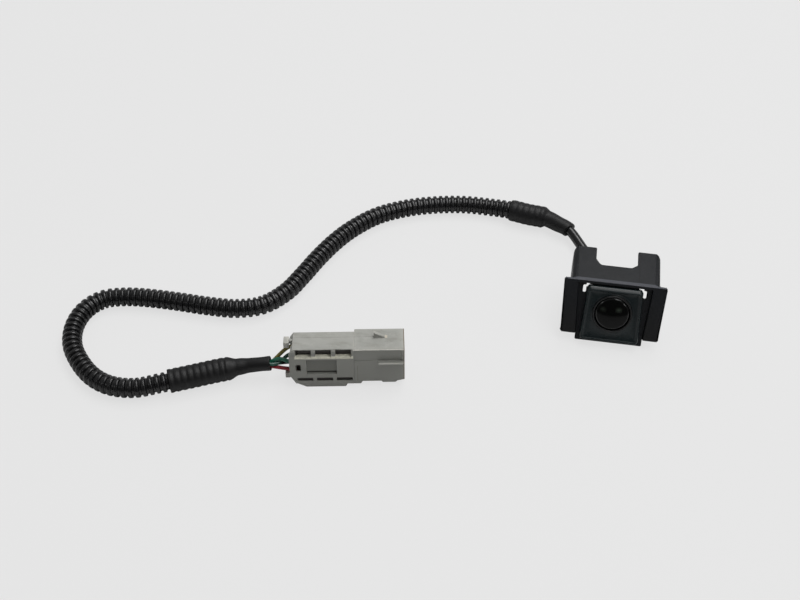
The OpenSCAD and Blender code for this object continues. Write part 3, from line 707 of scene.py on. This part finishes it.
SLEEVE_POINTS = [(-0.1495, -0.0557, 0.0061), (-0.1450, -0.0547, 0.0067), (-0.1366, -0.0530, 0.0076)]
BUNDLE_POINTS = [(-0.1515, -0.0562, 0.0059), (-0.1390, -0.0534, 0.0075), (-0.1362, -0.05295, 0.0077)]

LEAD = Line(GROMMET_POINTS + CABLE_POINTS + LOOM_POINTS[1:] + SLEEVE_POINTS)

loom_start = LEAD.near(LOOM_POINTS[0])
loom_end = LEAD.near(LOOM_POINTS[-1])
grommet_end = LEAD.near(GROMMET_POINTS[-1])


def crest(s):
    """1 on a rib's crest and 0 in the groove, by distance along the lead."""
    flank = 0.14
    phase = ((s - loom_start) / RIB_PITCH) % 1.0
    return smooth_step((0.5 - abs(phase - 0.5) - flank) / flank)


def make_cable(material):
    """Jacketed cable from inside the grommet to inside the loom's end."""
    s0, s1 = grommet_end - 4 * MM, loom_start + 1 * MM
    profile = [(s, CABLE_R) for s in steps(s0, s1, 60)]
    cable = sweep("camera_cable_jacket", LEAD, profile, turns(28), material)
    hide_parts("camera_cable")
    return cable, LEAD.part(s0, s1), s1 - s0


def make_loom(material):
    """Corrugated tube: square-shouldered ribs, a bore that shows at its ends and a slit low on its left."""
    shoulder = [(0.0, 0.0), (0.13, 0.0), (0.19, 0.25), (0.24, 0.8), (0.31, 0.97)]
    rib_outline = shoulder + [(0.5, 1.0)] + [(1 - share, height) for share, height in shoulder[:0:-1]]
    ribs = round((loom_end - loom_start) / RIB_PITCH)
    profile = [(loom_start + (rib + share) * RIB_PITCH, LOOM_R - RIB_DEPTH * (1 - height))
               for rib in range(ribs) for share, height in rib_outline]
    profile.append((loom_end, LOOM_R - RIB_DEPTH))
    bore = LOOM_R - RIB_DEPTH - LOOM_WALL
    inner = [(s, bore) for s in steps(loom_end, loom_start, ribs)]
    slit, half_cut, slit_depth = math.radians(205), math.radians(1.4), 0.35 * MM
    angles = sorted(turns(32) + [slit - half_cut, slit, slit + half_cut])

    def swell(s, a, r):
        return (r - slit_depth if a == slit and r > bore else r), 1.0

    loom = sweep("corrugated_loom", LEAD, profile + inner, angles, material, swell,
                 ends="joined", smooth=50)
    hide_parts("loom_tube")
    return loom, LEAD.part(loom_start, loom_end), loom_end - loom_start


def sleeve(name, node, material, size, bore, ribs_show, rib_depth, narrow, crease, wind, squash):
    """Heat-shrunk sleeve with rolled ends. size and bore are its outer and inner radius as stops along the
    lead. The loom's ribs show through, rib_depth deep, where ribs_show(s) is 1. Where narrow(s) is 1, two
    soft folds, crease high, wind round it by half of wind radians a metre, and its height grows by squash."""
    def outer(s):
        return along(s, size) - rib_depth * ribs_show(s) * (1 - crest(s))

    def inner(s):
        return along(s, bore)

    def swell(s, a, r):
        return r + crease * math.sin(2 * a + wind * s) * narrow(s), 1 + squash * narrow(s)

    s0, s1 = size[0][0], size[-1][0]
    lip, lip_drop, shoulder_drop = 0.12 * MM, 0.3 * MM, 0.06 * MM
    step = RIB_PITCH / 8
    profile = [(s0 - lip, outer(s0) - lip_drop), (s0, outer(s0) - shoulder_drop)]
    profile += ringed(s0, s1, step, outer)[1:-1]
    profile += [(s1, outer(s1) - shoulder_drop), (s1 + lip, outer(s1) - lip_drop)]
    profile += ringed(s1 + lip, s0 - lip, 3 * step, inner)
    piece = sweep(name, LEAD, profile, turns(40), material, swell,
                  ends="joined", smooth=50)
    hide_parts(node)
    return piece


def make_camera_sleeve(material):
    s0 = LEAD.near((-0.0207, 0.0481, 0.0049))
    s1 = LEAD.near((-0.0480, 0.0572, 0.0050))
    neck = loom_start - 1.4 * MM
    cable_fit, loom_fit = CABLE_R + 0.05 * MM, LOOM_R + 0.02 * MM
    return sleeve(
        "camera_end_heat_shrink", "camera_end_sleeve", material,
        size=[(s0, 3.56 * MM), (neck, 3.8 * MM), (neck + 2.4 * MM, SLEEVE_R), (s1, SLEEVE_R)],
        bore=[(s0, cable_fit), (neck, cable_fit), (neck + 1.2 * MM, 3.4 * MM), (neck + 1.9 * MM, loom_fit),
              (s1, loom_fit)],
        ribs_show=lambda s: smooth_step((s - loom_start) / (2 * MM)), rib_depth=0.13 * MM,
        narrow=lambda s: smooth_step((loom_start - s) / (4 * MM)), crease=0.07 * MM, wind=300, squash=-0.05)


def make_plug_sleeve(material):
    s0, s1 = LEAD.near((-0.1760, -0.0669, 0.0051)), LEAD.length
    slope, neck = (LEAD.near(p) for p in SLEEVE_POINTS[:2])
    loom_fit = LOOM_R + 0.02 * MM
    return sleeve(
        "plug_end_heat_shrink", "plug_end_sleeve", material,
        size=[(s0, SLEEVE_R), (loom_end, SLEEVE_R), (slope, 3.45 * MM), (neck, 2.9 * MM), (s1, 3.02 * MM)],
        bore=[(s0, loom_fit), (loom_end, loom_fit), (slope, 2.7 * MM), (neck, 2.35 * MM), (s1, 2.5 * MM)],
        ribs_show=lambda s: 1 - smooth_step((s - loom_end) / (1.5 * MM)), rib_depth=0.24 * MM,
        narrow=lambda s: smooth_step((s - loom_end) / (8 * MM)), crease=0.09 * MM, wind=500, squash=0.04)


# ---- Wires from the sleeve into the plug ----

CAVITIES = [(MIDDLE_Y + y * CAVITY_PITCH_Y, MIDDLE_Z + z * CAVITY_PITCH_Z)
            for y in (-0.5, 0.5) for z in (-1, 0, 1)]
BUNDLE_HEADING = Vector((0.985, 0.17, 0))

# The two green wires: their middle's place in the bundle, how far each is from it, the length of a turn, and
# how long before the fan and over what length they part
PAIR_PLACE = (0.35, 0.5)
TWIST_R = 0.82 * MM
TWIST_PITCH = 15 * MM
PART_BEFORE, PART_OVER = 4 * MM, 4.4 * MM


def wire_line(place, cavity):
    """Points of a wire's centreline; place is its (side, up) offset in the bundle, in mm."""
    up = Vector((0, 0, 1))
    side = BUNDLE_HEADING.cross(up)
    held = [Vector(p) + (place[0] * side + place[1] * up) * MM for p in BUNDLE_POINTS]
    return held + [in_group(PLUG, x, *cavity) for x in (FAN_X, CRIMP_X)]


def make_wire(name, points, material, node):
    line = Line(points, 0.25 * MM)
    profile = ringed(0, line.length, 0.5 * MM, lambda s: WIRE_R)
    wire = sweep(name, line, profile, turns(16), material)
    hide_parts(node)
    return wire, line


def twisted_pair(material_a, material_b):
    """Two green wires wound round each other until they part for their cavities."""
    middle = Line(wire_line(PAIR_PLACE, (MIDDLE_Y, MIDDLE_Z)), 0.25 * MM)
    fan_at = middle.near(in_group(PLUG, FAN_X, MIDDLE_Y, MIDDLE_Z))
    made = []
    for cavity, start, name, node, material in (
            (CAVITIES[1], math.pi, "green_wire_a", "wire_green_a", material_a),
            (CAVITIES[4], 2 * math.pi, "green_wire_b", "wire_green_b", material_b)):
        own = Line(wire_line(PAIR_PLACE, cavity), 0.25 * MM)
        points = []
        for share in steps(0, 1, 60):
            s = middle.length * share
            at, _, side, up = middle.frame(s)
            turn = start + 2 * math.pi * (s - fan_at) / TWIST_PITCH
            wound = at + TWIST_R * (math.cos(turn) * -side + math.sin(turn) * up)
            apart = smooth_step((s - fan_at + PART_BEFORE) / PART_OVER)
            points.append(wound.lerp(own.point(own.length * share), apart))
        made.append(make_wire(name, points, material, node))
    return made


# ---- Shapes turned round the lens axis, and the head ----

def lathe(name, profile, material, node, closed=False, count=96):
    """Turned about the lens axis; the profile is a list of (radius, distance behind the face) in mm."""
    points, rows = [], []
    for r, y in profile:
        ring = [0.0] if r == 0 else turns(count)
        rows.append((len(points), len(ring)))
        points += [in_group(CAMERA, r * math.cos(a), y, AXIS_V + r * math.sin(a)) for a in ring]
    pairs = list(zip(rows, rows[1:])) + ([(rows[-1], rows[0])] if closed else [])
    faces = []
    for (a, na), (b, nb) in pairs:
        for k in range(count):
            m = (k + 1) % count
            if na == 1:
                faces.append((a, b + m, b + k))
            elif nb == 1:
                faces.append((a + k, a + m, b))
            else:
                faces.append((a + k, a + m, b + m, b + k))
    piece = new_piece(name, points, faces, material)
    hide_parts(node)
    return piece


def dome(edge, rise, apex, count):
    """(radius, distance) points from a dome's middle to its edge."""
    radius = (edge ** 2 + rise ** 2) / (2 * rise)
    span = math.asin(edge / radius)
    return [(radius * math.sin(a), apex + radius * (1 - math.cos(a))) for a in steps(0, span, count)]


def rounded_loop(half0, half1, v0, v1, r):
    """A rounded trapezium as (x, v) points, counter-clockwise from the right end of its bottom side."""
    count = 10
    corners = [arc((half0 - r, v0 + r), r, -90, 0, count), arc((half1 - r, v1 - r), r, 0, 90, count),
               arc((-half1 + r, v1 - r), r, 90, 180, count), arc((-half0 + r, v0 + r), r, 180, 270, count)]
    loop = []
    for corner, following in zip(corners, corners[1:] + corners[:1]):
        side = zip(*(steps(a, b, count) for a, b in zip(corner[-1], following[0])))
        loop += corner + list(side)[1:-1]
    return loop


def loft(name, loops, material, node):
    """Loops of equal length joined into a closed ring-shaped skin; each is ([(x, v), ...], y)."""
    n = len(loops[0][0])
    points = [in_group(CAMERA, x, y, v) for loop, y in loops for x, v in loop]
    faces = []
    for i in range(len(loops)):
        j = (i + 1) % len(loops)
        faces += [(i * n + k, i * n + (k + 1) % n, j * n + (k + 1) % n, j * n + k) for k in range(n)]
    piece = new_piece(name, points, faces, material, smooth=40)
    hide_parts(node)
    return piece


def make_head(material):
    """The camera's front case: a raised rim round a flat face, the lens seat, and the case behind them."""
    def outline(side, top):
        """The head's outline, narrower by side and lower by top, with its corners rounded to suit."""
        return rounded_loop(HEAD_HALF_LOW - side, HEAD_HALF_HIGH - side, HEAD_LOW + side, HEAD_HIGH - top,
                            max(0.5, HEAD_CORNER_R - 0.6 * side))

    def round_at(r):
        """A circle round the lens axis, with its points abreast of the outline's."""
        angles = [math.atan2(v - AXIS_V, x) for x, v in outline(2, 2)]
        return [(r * math.cos(a), AXIS_V + r * math.sin(a)) for a in angles]

    # The rim's section from the back of the head to its flat face: (side, top, y)
    rim = [(0.15, 0.15, 1.7), (0, 0, 1.5), (0, 0, -0.45), (0.04, 0.12, -0.75), (0.14, 0.4, -1.08),
           (0.28, 0.72, -1.38), (0.44, 1.02, -1.62), (0.6, 1.24, -1.75), (0.78, 1.4, -1.8),
           (0.96, 1.54, -1.76), (1.14, 1.68, -1.64), (1.36, 1.84, -1.46), (1.64, 2.02, -1.33),
           (2.0, 2.2, -1.28)]
    # The low ring round the lens, the recess and the bore behind it: (radius, y)
    recess = [(8.82, -1.3), (8.7, -1.34), (8.58, -1.48), (8.44, -1.54), (8.3, -1.5), (RECESS_R, -1.36),
              (RECESS_R, 0.4), (6.6, 0.4), (6.6, 8.9)]
    case = rounded_loop(CASE_HALF_W, CASE_HALF_W, AXIS_V - CASE_HALF_H, AXIS_V + CASE_HALF_H, CASE_CORNER_R)
    loops = [(outline(side, top), y) for side, top, y in rim]
    loops += [(round_at(r), y) for r, y in recess]
    loops += [(case, 9.0), (case, 1.7)]
    return loft("camera_head", loops, material, "camera_front_case")


def make_lens(glass, edge_glass, coated, ring_material):
    """Retaining ring, the dark front dome with its rolled edge, and the coated dome behind it."""
    inside, outside, seat = RECESS_R - 0.75, RECESS_R - 0.05, -0.4
    ring = [(inside, seat), (outside, seat), (outside, -1.9)] + arc((outside - 0.22, -1.95), 0.22, 0, -90, 4)
    ring += arc((inside + 0.21, -2.0), 0.17, -90, -160, 4) + [(inside, -1.85)]
    lathe("lens_retaining_ring", ring, ring_material, "lens_ring", closed=True)
    front = dome(edge=DOME_R, rise=1.25, apex=-3.3, count=24)
    lathe("lens_dome", front + [(DOME_R, DOME_BACK), (0, DOME_BACK)], glass,
          "lens_front_element")
    roll = arc((5.6, -0.09), 2.12, -67.9, -32, 10)
    lathe("lens_rolled_edge", roll + [(inside - 0.15, DOME_BACK), (DOME_R, DOME_BACK)], edge_glass,
          "lens_front_element", closed=True)
    inner = dome(edge=5.4, rise=2.0, apex=-0.6, count=20)
    lathe("lens_inner_dome", inner + [(5.5, 1.6), (5.5, 2.8), (0, 2.8)], coated,
          "lens_middle_element")


def make_grommet(material):
    """Tapered strain relief with three grip rings, pressed into the rear case."""
    bore, neck, ring_w = 2.23, 3.6, 0.8
    profile = [(bore, 14.1), (neck, 14.1), (neck, 15.05), (2.95, 15.1), (2.95, 16.5), (4.0, 16.5)]
    profile += arc((3.9, 17.5), 0.2, 0, 90, 3)
    for start, r in ((18.1, 3.35), (19.5, 3.15), (20.9, 2.95)):
        end = start + ring_w
        profile += [(r - 0.35, start), (r, start + 0.15), (r, end - 0.15), (r - 0.35, end)]
    profile += [(2.75, GROMMET_END - 0.2), (2.6, GROMMET_END), (bore, GROMMET_END)]
    lathe("cable_strain_relief", profile, material, "cable_grommet", closed=True, count=48)


# ---- Making the object ----

cable, cable_path, cable_length = make_cable(jacket_black)
loom, loom_path, loom_length = make_loom(loom_black)
camera_sleeve = make_camera_sleeve(sleeve_black)
plug_sleeve = make_plug_sleeve(sleeve_black)
wires = twisted_pair(insulation_green, insulation_dark_green)
for name, node, material, cavity, place in (
        ("red_wire", "wire_red", insulation_red, CAVITIES[0], (0.75, -1.15)),
        ("olive_wire", "wire_olive", insulation_olive, CAVITIES[5], (-0.95, -0.3)),
        ("black_wire", "wire_black", insulation_black, CAVITIES[3], (-0.6, -1.1))):
    wires.append(make_wire(name, wire_line(place, cavity), material, node))

make_head(head_black)
make_lens(dark_glass, edge_glass, coated_glass, ring_black)
make_grommet(rubber_black)
bevelled("bracket", "mounting_bracket", 0.5, bracket_black, soft=0.6)
bevelled("camera_rear_case", "camera_back", 0.3, case_black)
rear_shell = bevelled("plug_rear_shell", "plug_body", 0.2, plug_grey)
plug_hood = bevelled("plug_hood", "plug_mouth_hood", 0.2, plug_grey)
holder = bevelled("wire_holder", "wire_retainer", 0.2, plug_grey, "wire_holder")

for wire, line in wires:
    line.part(0, line.length)


# ---- Floor, light and background ----

BACKDROP = 0.79
GLOW, GLOW_SHARE = 1.03, 0.85
FRONT_LIGHT, REAR_LIGHT = 0.1, 0.42
ORIGIN = (0, 0, 0)


def make_stage():
    """A pale floor. The camera sees mostly its own glow, so that it stays plain and keeps a soft shadow."""
    mesh = bpy.data.meshes.new("floor")
    half = 3.0
    mesh.from_pydata([(-half, -half, 0), (half, -half, 0), (half, half, 0), (-half, half, 0)], [],
                     [(0, 1, 2, 3)])
    floor = bpy.data.objects.new("floor", mesh)
    bpy.context.scene.collection.objects.link(floor)
    material, tree, shader, _ = new_material("pale_floor", Roughness=0.9, Specular_IOR_Level=0.1)
    pale = opaque((BACKDROP,) * 3)
    shader.inputs["Base Color"].default_value = pale
    glow = node_at(tree, "ShaderNodeEmission", Color=pale, Strength=GLOW)
    path = node_at(tree, "ShaderNodeLightPath")
    share = node_at(tree, "ShaderNodeMath", operation="MULTIPLY")
    share.inputs[1].default_value = GLOW_SHARE
    blend = node_at(tree, "ShaderNodeMixShader")
    tree.links.new(path.outputs["Is Camera Ray"], share.inputs[0])
    tree.links.new(share.outputs[0], blend.inputs[0])
    tree.links.new(shader.outputs[0], blend.inputs[1])
    tree.links.new(glow.outputs[0], blend.inputs[2])
    tree.links.new(blend.outputs[0], tree.nodes["Material Output"].inputs["Surface"])
    mesh.materials.append(material)


def make_world():
    """A pale backdrop, as the camera sees it, also through glass. The soft light that the world gives, in
    reflections too, is stronger from the rear than from the front."""
    world = bpy.data.worlds.new("studio")
    world.use_nodes = True
    tree = world.node_tree
    tree.nodes.clear()
    path = node_at(tree, "ShaderNodeLightPath")
    seen = node_at(tree, "ShaderNodeMath", operation="MAXIMUM")
    tree.links.new(path.outputs["Is Camera Ray"], seen.inputs[0])
    tree.links.new(path.outputs["Is Transmission Ray"], seen.inputs[1])
    split = node_at(tree, "ShaderNodeSeparateXYZ")
    tree.links.new(node_at(tree, "ShaderNodeTexCoord").outputs["Generated"], split.inputs[0])
    rearward = node_at(tree, "ShaderNodeMapRange")
    for name, value in (("From Min", -0.6), ("From Max", 0.6),
                        ("To Min", FRONT_LIGHT), ("To Max", REAR_LIGHT)):
        rearward.inputs[name].default_value = value
    tree.links.new(split.outputs["Y"], rearward.inputs["Value"])
    soft = node_at(tree, "ShaderNodeBackground", Color=(1, 1, 1, 1))
    tree.links.new(rearward.outputs["Result"], soft.inputs["Strength"])
    pale = node_at(tree, "ShaderNodeBackground", Color=opaque((BACKDROP,) * 3), Strength=1.0)
    blend = node_at(tree, "ShaderNodeMixShader")
    out = node_at(tree, "ShaderNodeOutputWorld")
    tree.links.new(seen.outputs[0], blend.inputs[0])
    tree.links.new(soft.outputs[0], blend.inputs[1])
    tree.links.new(pale.outputs[0], blend.inputs[2])
    tree.links.new(blend.outputs[0], out.inputs["Surface"])
    bpy.context.scene.world = world


def area_light(name, place, target, size, power):
    data = bpy.data.lights.new(name, "AREA")
    data.shape = "RECTANGLE"
    data.size, data.size_y = size
    data.energy = power
    lamp = bpy.data.objects.new(name, data)
    lamp.location = place
    lamp.rotation_euler = (Vector(target) - Vector(place)).to_track_quat("-Z", "Y").to_euler()
    bpy.context.scene.collection.objects.link(lamp)


bpy.context.scene.view_settings.view_transform = "Standard"
make_stage()
make_world()
area_light("overhead", (0.15, 0.16, 1.0), (-0.1, 0, 0), (1.2, 0.5), 6.9)
area_light("rear", (0.1, 0.55, 0.85), (-0.05, 0, 0), (0.3, 0.14), 1.0)
area_light("right", (0.9, 0.1, 0.4), ORIGIN, (0.25, 0.25), 0.5)
area_light("front_right", (0.6, -0.5, 0.5), ORIGIN, (0.15, 0.15), 0.24)
area_light("front_left", (-0.56, -0.47, 0.55), ORIGIN, (0.15, 0.15), 0.2)
